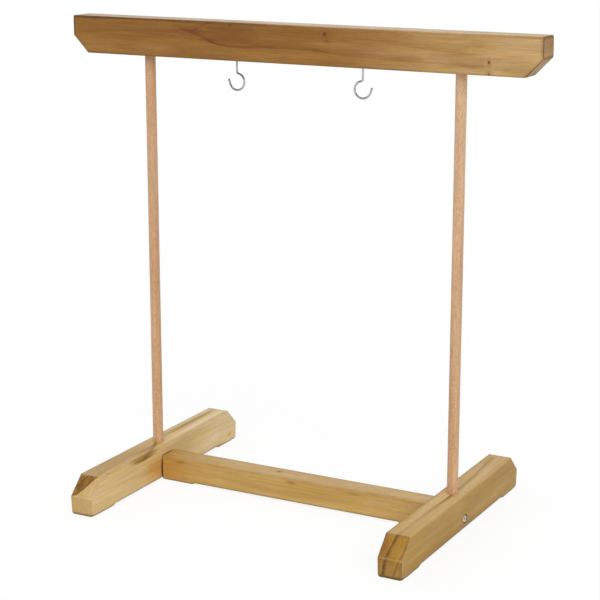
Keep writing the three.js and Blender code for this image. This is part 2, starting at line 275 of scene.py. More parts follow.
def newMaterial(name):
    material = bpy.data.materials.new(name)
    material.use_nodes = True
    material.node_tree.nodes.clear()
    return material, material.node_tree


# The last step of a material: a bump from its height, the shader's inputs and the output
def endMaterial(tree, look, height, bumpHeight, inputs):
    bump = add(tree, "Bump", {"Height": height, "Strength": look["bump"], "Distance": bumpHeight * mm})
    shader = add(tree, "BsdfPrincipled", {"Normal": bump.outputs[0], **inputs})
    add(tree, "OutputMaterial", {"Surface": shader.outputs[0]})


def patchMasks(tree, place, at, reach, ragged, run=6.0):
    return placeGroup(tree, "patch", place, {
        "Centre": inMetres(at), "Reach": inMetres(reach), "Ragged": ragged, "Grain Run": run})


def grainMasks(tree, place, look, swirl=0.0):
    return placeGroup(tree, "grain", place, {"Pith": inMetres(look["pith"]), "Ring Gap": look["ringGap"] * mm,
                                             "Waver": look["waver"] * mm, "Swirl": swirl})


def sheenMasks(tree, place, look):
    return placeGroup(tree, "sheen", place, {"Low": look["sheen"][0], "High": look["sheen"][1]})


def around(tree, value, low, high, depth):
    return ramp(tree, value, low, high, 1.0 - depth, 1.0 + depth)


# A wide band of heartwood, darkest where the ends are cut
def layHeart(tree, colour, place, heart, across):
    x, y, z = split(tree, place)
    inside = plus(tree, y, pathCurve(tree, x, heart["points"], mm), times(tree, z, heart["lean"]))
    ripple = calc(tree, "SUBTRACT", noise(tree, inMm(tree, place), (60, 10, 10)), 0.5)
    inside = plus(tree, inside, times(tree, ripple, heart["ripple"] * mm))
    run = join(tree, calc(tree, "DIVIDE", inside, mm), calc(tree, "DIVIDE", x, 200 * mm))
    bands = times(tree, noise(tree, run, (3.4, 1, 1), 2.0, 0.6), 0.6)
    bands = plus(tree, bands, times(tree, noise(tree, inMm(tree, place), (30, 9, 9)), 0.4))
    edge, depth = inMetres((heart["edge"], heart["depth"]))
    mask = times(tree, ramp(tree, inside, 0.0, edge),
                 ramp(tree, inside, depth, depth + edge * 3, 1.0, heart["beyond"]))
    onSides = pathCurve(tree, x, heart["shares"])
    onEnds = times(tree, pathCurve(tree, x, heart["endShares"]), ramp(tree, across, 0.3, 0.6))
    tone = lay(tree, heart["dark"], heart["light"], ramp(tree, bands, 0.38, 0.60))
    return lay(tree, colour, tone, mask, calc(tree, "MAXIMUM", onSides, onEnds))


# A thin sheet of heartwood that crosses one face as a line and tints the wood on its fading side.
# On the left foot's top the same line is painted shade beside the post's foot
def laySheet(tree, colour, place, sheet):
    x, y, z = split(tree, place)
    main, other = (z, y) if sheet["across"] == "z" else (y, z)
    slant = times(tree, calc(tree, "SUBTRACT", other, sheet["face"] * mm), sheet["lean"])
    offset = calc(tree, "SUBTRACT", plus(tree, main, slant), pathCurve(tree, x, sheet["points"], mm))
    made = placeGroup(tree, "heartAndShadeLine", place, {
        "Offset": times(tree, offset, sheet["side"]), "Crisp": sheet["crisp"] * mm,
        "Fading": sheet["fading"] * mm, "Reach": sheet["reach"] * mm})
    start, stop, ease = inMetres((sheet["points"][0][0], sheet["points"][-1][0], sheet["ease"]))
    ends = times(tree, ramp(tree, x, start, start + ease), ramp(tree, x, stop - ease, stop, 1.0, 0.0))
    if "sinksAt" in sheet:
        sinks, gone = inMetres(sheet["sinksAt"])
        ends = times(tree, ends, ramp(tree, y, sinks, gone, 1.0, 0.0))
    fades, faded = inMetres(sheet["shadeEnd"])
    shade = times(tree, ends, ramp(tree, x, fades, faded, sheet["shade"], 0.0))
    colour = lay(tree, colour, sheet["tint"], made["Shade"], shade)
    return lay(tree, colour, sheet["colour"], made["Line"], ends, pathCurve(tree, x, sheet["shares"]))


# End grain drinks more oil and the edges round it are darkest, with painted shade where an end meets
# a joint. The long arrises take a tone of their own, mostly painted shade, the arrises facing down take
# painted shade, and the arrises are rubbed
def layEdges(tree, colour, place, look, across, endOn, lowest):
    x, y, z = split(tree, place)
    endGrain = noise(tree, inMm(tree, join(tree, 0.0, y, z)), (1, 1.1, 1.1), 2.0, 0.6)
    endTone = lay(tree, look["endTone"], look["endPores"], ramp(tree, endGrain, 0.35, 0.65, 0.0, 0.35))
    colour = lay(tree, colour, endTone, endOn, mode="MULTIPLY")
    wear = placeGroup(tree, "wear", place, {"Patchiness": 0.6})
    # edges round the end grain: darker with oil, and painted shade where an end meets a joint
    endEdge = times(tree, wear["Edge"], ramp(tree, across, 0.06, 0.4))
    longEdge = times(tree, wear["Edge"], ramp(tree, across, 0.06, 0.4, 1.0, 0.0),
                     pathCurve(tree, x, look["arrisShares"]),
                     ramp(tree, z, *inMetres(look["lowerArris"]), look["lowerShare"], 1.0))
    arris = ramp(tree, wear["Edge"], 0.3, 0.85)
    behind = times(tree, arris, ramp(tree, y, *inMetres(look["backFrom"])),
                   ramp(tree, z, *inMetres(look["backAbove"]), 0.0, look["backDepth"]))
    # painted shade along the arrises that face down
    under = times(tree, arris, ramp(tree, z, *inMetres(lowest + height for height in look["underBand"])))
    # where a chamfer meets the end the arris is lighter, partly wear and partly a painted highlight
    fromCut = calc(tree, "ABSOLUTE", calc(tree, "SUBTRACT", z, look["cutLine"] * mm))
    wornAndLitCut = times(tree, ramp(tree, fromCut, *inMetres(look["cutBand"]), 1.0, 0.0), look["cutWearAndLight"])
    keptEdge = times(tree, endEdge, calc(tree, "SUBTRACT", 1.0, wornAndLitCut))
    colour = lay(tree, colour, look["edgeTone"], keptEdge, look["edgeDepth"])
    colour = lay(tree, colour, look["rubTone"], endEdge, wornAndLitCut, look["cutWearAndLightDepth"])
    # the long arrises' own tone along the board; where it is darker it is painted shade on the rounded edge
    colour = lay(tree, colour, look["arrisShadingTone"], longEdge)
    colour = lay(tree, colour, look["rubTone"], wear["Rubbed"], look["rubDepth"])
    colour = lay(tree, colour, look["underTone"], under, look["underShadeDepth"])
    return lay(tree, colour, look["underTone"], behind)


# Oiled timber of one board. The board's frame has x along it, y through its thickness and z up
def boardMaterial(name, look, lowest):
    material, tree = newMaterial(name)
    coords = add(tree, "TexCoord").outputs
    place = coords["Object"]
    x = split(tree, place)[0]
    across = calc(tree, "ABSOLUTE", split(tree, coords["Normal"])[0])
    endOn = ramp(tree, across, 0.45, 0.75)

    # Knots come first, because the rings bend round them
    swirl = 0.0
    knots = []
    for at, reach, strength in look["knots"]:
        core = patchMasks(tree, place, at, reach, 0.12, 2.0)["Patch"]
        wide = [size * look["knotShade"] for size in reach]
        shade = patchMasks(tree, place, at, wide, 0.15)["Patch"]
        swirl = plus(tree, swirl, times(tree, shade, look["knotSwirl"] * mm))
        knots.append((core, shade, strength))

    grain = grainMasks(tree, place, look, swirl)
    colour = lay(tree, look["pale"], look["mid"], ramp(tree, grain["Cloud"], 0.34, 0.66))
    start, stop, depth = look["fade"]
    colour = lay(tree, colour, look["farTone"], ramp(tree, x, start * mm, stop * mm, 0.0, depth))
    for at, reach, strength, tone, *edge in look["zones"]:
        ragged, output = edge or (0.3, "Patch")
        colour = lay(tree, colour, paint(*tone), patchMasks(tree, place, at, reach, ragged)[output], strength)
    for heart in look["hearts"]:
        colour = layHeart(tree, colour, place, heart, across)
    ringShare = plus(tree, look["ringDepth"], times(tree, endOn, look["endRingDepth"]))
    colour = lay(tree, colour, look["late"], grain["Rings"], ringShare)
    streak = around(tree, grain["Streaks"], 0.30, 0.70, look["streakDepth"])
    redder = around(tree, grain["Hue"], 0.32, 0.68, 0.015)
    bluer = around(tree, grain["Hue"], 0.32, 0.68, look["hueDrift"])
    colour = tinted(tree, colour, times(tree, streak, redder), streak, times(tree, streak, bluer))
    fibre = around(tree, grain["Fibres"], 0.3, 0.7, look["fibreDepth"])
    colour = tinted(tree, colour, fibre, fibre, fibre)
    colour = lay(tree, colour, look["dark"], grain["Pores"], look["poreDepth"])
    for sheet in look["sheets"]:
        colour = laySheet(tree, colour, place, sheet)
    for core, shade, strength in knots:
        colour = lay(tree, colour, look["knotRim"], shade, strength * 0.35)
        colour = lay(tree, colour, look["knotCore"], core, strength)
    colour = layEdges(tree, colour, place, look, across, endOn, lowest)

    sheen = sheenMasks(tree, place, look)
    rough = plus(tree, sheen["Roughness"], times(tree, grain["Pores"], 0.10))
    rough = calc(tree, "ADD", rough, times(tree, endOn, 0.14), use_clamp=True)
    height = plus(tree, times(tree, grain["Fibres"], 0.5), times(tree, grain["Rings"], 0.25),
                  times(tree, sheen["Sanding"], 0.25), times(tree, grain["Pores"], -0.6))
    endMaterial(tree, look, height, 0.25, {"Base Color": colour, "Roughness": rough, "IOR": 1.3})
    return material


# Turned beech: close pink-brown grain with short dark flecks all round
def beechMaterial(name, look):
    material, tree = newMaterial(name)
    coords = add(tree, "TexCoord").outputs
    place = coords["Object"]
    along = split(tree, place)[0]
    grain = grainMasks(tree, place, look)
    colour = lay(tree, look["pale"], look["mid"], ramp(tree, grain["Cloud"], 0.34, 0.66))
    colour = lay(tree, colour, look["late"], grain["Rings"], look["ringDepth"])
    streak = around(tree, grain["Streaks"], 0.3, 0.7, look["streakDepth"])
    colour = tinted(tree, colour, streak, streak, streak)
    small = ramp(tree, noise(tree, inMm(tree, place), (3.2, 0.55, 0.55), 1.0), 0.57, 0.68)
    large = ramp(tree, noise(tree, inMm(tree, place), (8.0, 1.3, 1.3), 1.0), 0.58, 0.68)
    colour = lay(tree, colour, look["fleck"], small, look["fleckDepth"])
    colour = lay(tree, colour, look["fleck"], large, look["fleckDepth"] * 0.6)
    endOn = ramp(tree, calc(tree, "ABSOLUTE", split(tree, coords["Normal"])[0]), 0.45, 0.95)
    colour = lay(tree, colour, look["late"], endOn, 0.5)
    wear = placeGroup(tree, "wear", place, {"Patchiness": 0.7})
    colour = lay(tree, colour, look["pale"], wear["Rubbed"], 0.4)
    # foot tint, then painted light towards the head against the beam's shadow; the left post's is plain white
    for tint, reach in ((look["footTint"], look["footReach"]), (look["headLightTint"], look["headLightReach"])):
        colour = lay(tree, colour, tint, ramp(tree, along, *inMetres(reach)), mode="MULTIPLY")
    sheen = sheenMasks(tree, place, look)
    rough = plus(tree, sheen["Roughness"], times(tree, small, 0.08))
    height = plus(tree, times(tree, grain["Fibres"], 0.5), times(tree, small, -0.5),
                  times(tree, sheen["Sanding"], 0.3))
    endMaterial(tree, look, height, 0.2, {"Base Color": colour, "Roughness": rough, "IOR": 1.42,
                                          "Sheen Weight": look["fuzz"]})
    return material


def platedMaterial(name, look):
    material, tree = newMaterial(name)
    place = add(tree, "TexCoord").outputs["Object"]
    marks = placeGroup(tree, "plating", place, {"Cloud Size": look["cloudSize"] * mm})
    colour = lay(tree, look["bright"], look["dull"], ramp(tree, marks["Cloud"], 0.35, 0.65))
    colour = lay(tree, colour, look["spot"], marks["Spots"], 0.5)
    wear = placeGroup(tree, "wear", place, {"Patchiness": 0.6})
    colour = lay(tree, colour, look["bright"], wear["Rubbed"], 0.6)
    rough = plus(tree, ramp(tree, marks["Cloud"], 0.3, 0.7, *look["rough"]), times(tree, marks["Spots"], 0.2))
    height = plus(tree, times(tree, marks["Lines"], 0.5), times(tree, marks["Cloud"], 0.3))
    endMaterial(tree, look, height, 0.05, {"Base Color": colour, "Roughness": rough, "Metallic": 1.0})
    return material


# Mesh tools. A row is a ring of points, each x, y, z and how worn it is, and a row of one point is a tip
def skinned(name, rows, closed=False, capped=False):
    bm = bmesh.new()
    layer = bm.verts.layers.float.new("arris")
    made = []
    for row in rows:
        verts = []
        for *spot, worn in row:
            verts.append(bm.verts.new(spot))
            verts[-1][layer] = worn
        made.append(verts)
    for first, second in zip(made, made[1:] + made[:1] * closed):
        for i in range(max(len(first), len(second))):
            corners = (first[(i - 1) % len(first)], first[i % len(first)],
                       second[i % len(second)], second[(i - 1) % len(second)])
            bm.faces.new(dict.fromkeys(corners))  # beside a tip two of the corners are one
    if capped:
        bm.faces.new(made[0])
        bm.faces.new(made[-1][::-1])
    bmesh.ops.remove_doubles(bm, verts=bm.verts, dist=0.002 * mm)
    bmesh.ops.recalc_face_normals(bm, faces=bm.faces)
    mesh = bpy.data.meshes.new(name)
    bm.to_mesh(mesh)
    bm.free()
    return mesh


def newObject(name, data):
    obj = bpy.data.objects.new(name, data)
    bpy.context.scene.collection.objects.link(obj)
    return obj


def finishMesh(name, mesh, material):
    for polygon in mesh.polygons:
        polygon.use_smooth = True
    mesh.set_sharp_from_angle(angle=radians(38))
    mesh.materials.clear()
    mesh.materials.append(material)
    obj = newObject(name, mesh)
    obj.modifiers.new("weighted normals", "WEIGHTED_NORMAL").keep_sharp = True
    return obj


def settle(obj, centre, turn, body, slot, *nodes):
    obj.matrix_world = Matrix.Translation(centre) @ turn
    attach(obj, body)
    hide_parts(*nodes)
    return obj


# A node's middle in metres and its size in millimetres, and how far one node's middle is from another's
def boxOf(node):
    low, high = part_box(node)
    return (low + high) / 2, (high - low) / mm


def offsetOf(node, other):
    return (boxOf(node)[0] - boxOf(other)[0]) / mm


# A turned solid about the X axis. The profile is (x, radius, worn), and a radius may be a
# function of the angle
def turnedMesh(name, profile, count, closed=False):
    rows = []
    for x, radius, worn in profile:
        row = []
        for i in range(1 if radius == 0 else count):
            angle = 2 * pi * i / count
            size = radius(angle) if callable(radius) else radius
            row.append((x * mm, size * cos(angle) * mm, size * sin(angle) * mm, worn))
        rows.append(row)
    return skinned(name, rows, closed)


def mirrored(profile):
    return profile + [(-x, radius, worn) for x, radius, worn in reversed(profile)]


# A cutter with a small flare where it leaves the wood, placed by its mouth and pointing into the wood
def holeMesh(mouth, inward, radius, depth, flare=0.5):
    over = 2
    mesh = turnedMesh("hole", [(-over, 0, 0), (-over, radius + flare + over, 0), (flare, radius, 0),
                               (depth, radius, 0), (depth, 0, 0)], 64)
    turn = Vector(inward).to_track_quat("X", "Z").to_matrix().to_4x4()
    mesh.transform(Matrix.Translation(inMetres(mouth)) @ turn)
    return mesh


# Holes are cut one after another and the result is kept as a plain mesh
def cutHoles(mesh, holes):
    blank = newObject("blank", mesh)
    cutters = [newObject("cutter", hole) for hole in holes]
    for cutter in cutters:
        modifier = blank.modifiers.new("hole", "BOOLEAN")
        modifier.operation = "DIFFERENCE"
        modifier.solver = "EXACT"
        modifier.object = cutter
    bpy.context.view_layer.update()
    ready = blank.evaluated_get(bpy.context.evaluated_depsgraph_get())
    result = bpy.data.meshes.new_from_object(ready)
    for used in (*cutters, blank):
        data = used.data
        bpy.data.objects.remove(used)
        bpy.data.meshes.remove(data)
    return result


# How a board's edges are stepped: along its outline, round its corners and over its arrises
edges = {"band": 5, "inset": 2, "arrisSteps": 5, "cornerSteps": 6, "runStep": 30, "shortRun": 8,
         "nearCorner": 5, "nearShare": 0.3, "wander": 0.14}


# A slow, repeatable wander between -1 and 1, from three waves
def drift(distance, seed):
    waves = ((1.0, 23.0, 1.7), (0.7, 61.0, 2.9), (0.4, 140.0, 4.1))  # share, turns by length, turns by seed
    total = sum(share * sin(distance * byLength + seed * bySeed) for share, byLength, bySeed in waves)
    return total / sum(share for share, _, _ in waves)


# The outline's points, each with its inward direction, whether it is on a corner, and its
# place on an inner ring
def roundOutline(corners, innerBand):
    spots = [Vector(corner[:2]) for corner in corners]
    count = len(spots)
    inner = []
    arcs = []
    for i, here in enumerate(spots):
        ahead = (spots[(i + 1) % count] - here).normalized()
        back = (spots[i - 1] - here).normalized()
        inA = Vector((back.y, -back.x))
        inB = Vector((-ahead.y, ahead.x))
        mitre = (inA + inB).normalized()
        inner.append(here + mitre * (innerBand / mitre.dot(inA)))
        radius = corners[i][2]
        half = acos(max(-1.0, min(1.0, back.dot(ahead)))) / 2
        centre = here + (back + ahead).normalized() * (radius / sin(half))
        start = here + back * (radius / tan(half)) - centre
        end = here + ahead * (radius / tan(half)) - centre
        convex = -back.x * ahead.y + back.y * ahead.x > 0
        fromAngle = atan2(start.y, start.x)
        toAngle = atan2(end.y, end.x)
        if convex and toAngle < fromAngle:
            toAngle += 2 * pi
        if not convex and toAngle > fromAngle:
            toAngle -= 2 * pi
        arcs.append([])
        for step in range(edges["cornerSteps"] + 1):
            angle = fromAngle + (toAngle - fromAngle) * step / edges["cornerSteps"]
            outward = Vector((cos(angle), sin(angle)))
            arcs[-1].append((centre + outward * radius, -outward if convex else outward, 1.0, inner[i]))
    outline = []
    for i in range(count):
        outline += arcs[i]
        start = arcs[i][-1][0]
        run = arcs[(i + 1) % count][0][0] - start
        length = run.length
        if length < edges["shortRun"] * mm:
            continue
        direction = run / length
        inward = Vector((-direction.y, direction.x))
        near = min(edges["nearCorner"] * mm, length * edges["nearShare"])
        steps = max(1, ceil((length - 2 * near) / (edges["runStep"] * mm)))
        innerRun = inner[(i + 1) % count] - inner[i]
        for step in range(steps + 1):
            spot = start + direction * (near + (length - 2 * near) * step / steps)
            along = (spot + inward * innerBand - inner[i]).dot(direction)
            along = max(0.0, min(innerRun.length, along))
            outline.append((spot, inward, 0.0, inner[i] + direction * along))
    return outline


# A board in its own frame, centred on its box. Knocked places are (x, z, extra, reach, sides)
def boardMesh(name, settings, corners, thickness, holes, knocked=()):
    half, arris, band = inMetres((thickness / 2, settings["arris"], edges["band"]))
    outline = roundOutline([inMetres(corner) for corner in corners], edges["inset"] * mm + band)
    rows = []
    for side in (-1, 1):
        walked = 0.0
        softened = []
        for i, (spot, _, _, _) in enumerate(outline):
            walked += (spot - outline[i - 1][0]).length if i else 0.0
            size = arris * (1 + edges["wander"] * drift(walked, settings["seed"]))
            for x, z, extra, reach, knockedSides in knocked:
                if side in knockedSides:
                    away = hypot(spot.x - x * mm, spot.y - z * mm) / (reach * mm)
                    size += extra * mm * max(0.0, 1 - away) ** 2
            softened.append(size)
        levels = [[(inside.x, side * half, inside.y, 0.0) for _, _, _, inside in outline]]
        for step in range(edges["arrisSteps"] + 1):
            angle = pi / 2 * step / edges["arrisSteps"]
            levels.append([])
            for (spot, inward, _, _), size in zip(outline, softened):
                at = spot + inward * size * (1 - sin(angle))
                levels[-1].append((at.x, side * (half - size * (1 - cos(angle))), at.y, 1.0))
        flat = side * (half - arris - band)
        levels.append([(spot.x, flat, spot.y, corner) for spot, _, corner, _ in outline])
        rows += levels if side < 0 else levels[::-1]
    rows.insert(len(rows) // 2, [(spot.x, 0.0, spot.y, corner) for spot, _, corner, _ in outline])
    mesh = skinned(name, rows, capped=True)
    return cutHoles(mesh, holes)


quarterTurn = Matrix.Rotation(pi / 2, 4, "Z")
halfTurn = Matrix.Rotation(pi, 4, "Z")
upright = Matrix.Rotation(-pi / 2, 4, "Y")
noTurn = Matrix.Identity(4)

# What the boards share. The arris shares and the sheets' and hearts' shares are drawn along the board
board = {
    "waver": 7, "ringDepth": 0.12, "endRingDepth": 0.3, "hueDrift": 0.10, "fibreDepth": 0.10,
    "hearts": [], "sheets": [], "knots": [], "knotShade": 3.2, "knotSwirl": 5,
    "endPores": (0.5, 0.42, 0.32, 1), "cutLine": 2, "cutWearAndLight": 0.8, "cutBand": (1.2, 3), "cutWearAndLightDepth": 0.14,
    "arrisShares": [(-360, 0.3), (360, 0.3)], "lowerArris": (-20, 20), "lowerShare": 0.35,
    "backFrom": (22, 26), "backAbove": (10, 16), "backDepth": 0.35, "underBand": (9, 6),
    "sheen": (0.36, 0.50), "bump": 0.3,
}

# Holes of the joints between foot and stretcher
joint = {"boltHole": 5.5, "counterbore": 11, "counterboreDepth": 12.5, "dowelHole": 5.3,
         "dowelHoleDepth": 20.3, "nutHole": 7.8, "nutHoleTop": 37.3, "boltReach": 47.5}

# Beam. Zones are (middle, reach, strength, colour), and some say how ragged they are and which
# mask they use. Knots are (middle, reach, strength)
soft, plain = (0.2, "Patch"), (0.1, "Patch")
frontSheet = {"across": "z", "face": -31, "lean": 0.25, "side": 1, "shadeEnd": (540, 600)}
beam = {
    **board,
    "cutRun": 39, "cutDrop": 40, "arris": 1.8, "round": 2.5, "seed": 1.3, "knock": 4.4, "knockReach": 16,
    "socket": (12.8, 28, 0.8), "hookSpacing": 318, "pilot": (2.8, 31.3, 0.3),
    "pale": paint(200, 166, 114), "mid": paint(187, 149, 93), "dark": paint(96, 58, 26),
    "late": paint(124, 80, 38), "farTone": paint(142, 96, 36), "fade": (480, 60, 0.95), "pith": (0, 55, -15),
    "ringGap": 4.2, "ringDepth": 0.18, "streakDepth": 0.17, "hueDrift": 0.08, "poreDepth": 0.22,
    "zones": [
        ((-170, -31, 18), (130, 50, 30), 0.6, (112, 68, 28)),
        ((-350, -31, 12), (150, 50, 16), 0.4, (128, 80, 40)),
        ((10, -31, 20), (150, 50, 28), 0.4, (134, 88, 40)),
        ((-60, -31, -30), (260, 50, 18), 0.5, (164, 118, 62), *soft),
        ((-520, -31, -20), (110, 50, 30), 0.5, (162, 118, 64), *soft),
        ((200, -31, 30), (110, 50, 20), 0.4, (150, 104, 50)),
        ((240, -31, -24), (130, 50, 16), 0.45, (158, 112, 50)),
        ((270, -31, -14), (80, 50, 9), 0.4, (144, 98, 50)),
        ((425, -31, -24), (50, 40, 5), 0.4, (176, 104, 44), *soft),
        ((-370, -31, -24), (90, 50, 17), 0.4, (170, 128, 78)),
        ((95, -31, 4), (110, 50, 10), 0.35, (176, 136, 84)),
        ((530, -31, 24), (80, 50, 26), 0.3, (206, 176, 140)),
        ((500, -31, 2), (80, 50, 9), 0.3, (170, 126, 76)),
        ((410, -31, -12), (90, 50, 34), 0.38, (150, 102, 42)),
        ((440, -31, 18), (34, 40, 7), 0.4, (164, 116, 62)),
        # painted sheen: the top face is made paler all over
        ((0, 10, 46), (1500, 160, 6), 1.0, (234, 211, 178), *plain),
        # painted shade along the top front arris at the left end, in this zone and the next
        ((-430, -31, 43), (400, 7, 5), 0.8, (84, 46, 16), *plain),
        ((-565, -31, 43), (160, 8, 8), 0.9, (72, 40, 12), *plain),
        # painted light on the right end's chamfer, underneath
        ((568, 6, -24), (34, 34, 28), 0.6, (230, 200, 156), *plain),
        ((-262, -31, 19), (50, 30, 10), 0.6, (108, 62, 28), 0.4, "Patch"),
        ((-212, -31, 0), (36, 30, 8), 0.5, (108, 62, 24)),
    ],
    "sheets": [
        {**frontSheet, "crisp": 2, "fading": 9, "reach": 26, "ease": 30, "shade": 0.28, "shadeEnd": (-20, 40),
         "colour": paint(90, 48, 14), "tint": paint(126, 76, 30),
         "shares": [(-300, 0.4), (-260, 0.6), (-235, 0.5), (-215, 0.6), (-185, 0.65), (-150, 0.55),
                    (-90, 0.45), (-30, 0.35), (30, 0.35), (60, 0.55), (95, 0.3), (180, 0.14), (300, 0.16),
                    (390, 0.2), (450, 0.06), (480, 0.0), (540, 0.0)],
         "points": [(-300, 24), (-270, 19), (-250, 12), (-225, 4), (-200, -6), (-180, -10), (-140, -12),
                    (-100, -10), (-60, -9), (0, -9), (50, -10), (70, -12), (100, -15), (180, -18), (220, -21),
                    (300, -23), (380, -25), (440, -29), (480, -31), (540, -31)]},
        {**frontSheet, "crisp": 2, "fading": 7, "reach": 20, "ease": 20, "shade": 0.3,
         "colour": paint(100, 56, 18), "tint": paint(126, 76, 34),
         "shares": [(-300, 0.2), (-285, 0.5), (-255, 0.6), (-240, 0.4), (-215, 0.45), (-190, 0.1)],
         "points": [(-320, 26), (-290, 25), (-262, 19), (-246, 24), (-230, 33), (-210, 39), (-190, 41)]},
        {**frontSheet, "crisp": 4, "fading": 9, "reach": 24, "ease": 60, "shade": 0.3,
         "colour": paint(116, 70, 32), "tint": paint(132, 82, 40),
         "shares": [(-560, 0.3), (-450, 0.15), (-350, 0.3), (-280, 0.4), (-230, 0.2)],
         "points": [(-580, 3), (-520, 8), (-440, 14), (-380, 15), (-320, 17), (-270, 10), (-220, 4)]},
        {**frontSheet, "crisp": 3, "fading": 9, "reach": 24, "ease": 30, "shade": 0.2,
         "colour": paint(118, 72, 28), "tint": paint(146, 98, 48),
         "shares": [(205, 0.1), (270, 0.22), (330, 0.16), (400, 0.1), (430, 0.05)],
         "points": [(205, 18), (260, 12), (300, 8), (350, 4), (430, 2)]},
    ],
    "knots": [
        ((-158, -31, 38.5), (7.5, 26, 5.5), 0.9), ((80, -31, 27), (7, 30, 7), 0.8),
        ((85, -31, 13), (4, 20, 3.5), 0.4), ((466, -31, -15), (4, 20, 6), 0.9),
        ((466, -31, -39), (4, 20, 3.5), 0.75),
    ],
    "knotCore": paint(84, 46, 16), "knotRim": paint(126, 78, 34),
    "endTone": paint(236, 228, 226), "edgeTone": paint(108, 64, 8), "edgeDepth": 0.85,
    "underTone": paint(92, 66, 30), "underShadeDepth": 0.2, "cutLine": -3, "cutWearAndLight": 0.3,
    "arrisShadingTone": paint(84, 48, 20),
    "arrisShares": [(-585, 1.0), (-460, 0.95), (-400, 0.75), (-200, 0.75), (-30, 0.45), (150, 0.15),
                    (380, 0.18), (480, 0.32), (585, 0.4)],
    "rubTone": paint(190, 150, 98), "rubDepth": 0.15,
}


def makeBeam():
    centre, size = boxOf("top_beam")
    half, middle = size.x / 2, size.z / 2
    corners = [(x, z, beam["round"]) for x, z in (
        (-half + beam["cutRun"], -middle), (half - beam["cutRun"], -middle), (half, beam["cutDrop"] - middle),
        (half, middle), (-half, middle), (-half, beam["cutDrop"] - middle))]
    holes = []
    for word, side in sides:
        socketAt = offsetOf(word + "_post", "top_beam").x
        for x, hole in ((socketAt, beam["socket"]), (side * beam["hookSpacing"] / 2, beam["pilot"])):
            holes.append(holeMesh((x, 0, -middle), (0, 0, 1), *hole))
    knocked = [(half, middle, beam["knock"], beam["knockReach"], (1,))]
    mesh = boardMesh("beam_board", beam, corners, size.y, holes, knocked)
    timber = boardMaterial("beamTimber", beam, -middle)
    settle(finishMesh("beam_board", mesh, timber), centre, noTurn, "beam", "beam_timber", "top_beam")


makeBeam()
print("beam built")

# Feet. The last three zones of each are painted shade round the stretcher's end, where it meets the foot
foot = {**board, "cutRun": 42, "cutDrop": 41, "pad": 88, "relief": 4, "reliefRun": 12, "arris": 2,
        "round": 2.8, "toe": 5.5, "knock": 5, "knockReach": 32, "socket": (12.8, 28, 0.6)}
leftFoot = {
    **foot, "seed": 4.1,
    "pale": paint(222, 192, 136), "mid": paint(213, 181, 120), "dark": paint(140, 100, 50),
    "late": paint(176, 134, 76), "farTone": paint(220, 196, 150), "fade": (60, 260, 0.7),
    "pith": (0, 30, 40), "ringGap": 4.4, "endRingDepth": 0.1, "streakDepth": 0.09, "poreDepth": 0.18,
    "zones": [
        ((-54, -28, -10), (86, 30, 48), 0.62, (200, 138, 50)),
        ((60, -28, 10), (90, 30, 40), 0.15, (184, 142, 86)),
        ((220, -28, -6), (30, 30, 14), 0.5, (232, 208, 164), *soft),
        ((295, -28, -22), (14, 14, 9), 0.5, (196, 124, 54)),
        ((-150, 6, 43), (260, 60, 5), 0.65, (172, 132, 72), *soft),
        ((-60, -14, 43), (80, 14, 4), 0.7, (158, 108, 46)),
        ((170, 8, 43), (200, 15, 6), 0.8, (164, 132, 62), *soft),
        ((95, -28, 27), (140, 20, 15), 0.25, (188, 144, 86), 0.35, "Patch"),
        ((170, -20, 43), (150, 14, 6), 0.5, (228, 208, 174), *soft),
        ((-108, -29, 46), (88, 5, 24), 0.85, (164, 126, 46), 0.08, "Core"),
        ((-112, -29, 32), (62, 6, 6), 0.6, (116, 80, 16), *plain),
        ((-258, -27, 43), (6, 6, 3), 0.7, (130, 84, 46), *soft),
        ((165, 8, 43), (150, 5, 4), 0.5, (122, 90, 20), 0.15, "Patch"),
        ((235, -28, -38), (70, 10, 7), 0.5, (176, 126, 66)),
        # painted shade round the stretcher's end
        ((0, -28, 17), (33, 5, 4), 0.7, (120, 72, 24), 0.05, "Patch"),
        ((-28, -28, -16), (7, 8, 36), 0.9, (112, 60, 12), 0.03, "Core"),
        ((28, -28, -16), (7, 8, 36), 0.9, (112, 60, 12), 0.03, "Core"),
    ],
    "sheets": [
        # painted shade: a dark band from the post's foot towards the front of the top
        {"across": "y", "face": 43, "lean": 0.5, "side": 1, "crisp": 2.5, "fading": 13, "reach": 16,
         "ease": 16, "sinksAt": (12, 22), "shade": 0.15, "shadeEnd": (540, 600),
         "colour": paint(126, 90, 26), "tint": paint(168, 128, 70),
         "shares": [(-120, 0.3), (-90, 0.75), (-45, 0.9), (-10, 0.8), (20, 0.2)],
         "points": [(-120, -37), (-88, -31), (-60, -23), (-30, -12), (-8, -3), (20, 6)]},
    ],
    "hearts": [
        {"points": [(-330, -23), (-311, -14), (-298, -14), (-288, -13.5), (-230, -20), (-150, -22),
                    (-30, -26), (330, -37)],
         "shares": [(-330, 0.35), (-284, 0.35), (-230, 0.25), (-100, 0.2), (0, 0.1), (60, 0.0), (330, 0.0)],
         "endShares": [(-330, 1.0), (-280, 1.0), (-270, 0.0), (330, 0.0)], "ripple": 6,
         "lean": 0.8, "edge": 3, "depth": 34, "beyond": 0.8, "dark": paint(108, 72, 22),
         "light": paint(162, 122, 54)},
    ],
    "endTone": paint(236, 230, 222), "edgeTone": paint(138, 100, 50), "edgeDepth": 0.3,
    "underTone": paint(96, 76, 44), "underShadeDepth": 0.55, "arrisShadingTone": paint(170, 128, 74),
    "rubTone": paint(222, 196, 152), "rubDepth": 0.2,
}
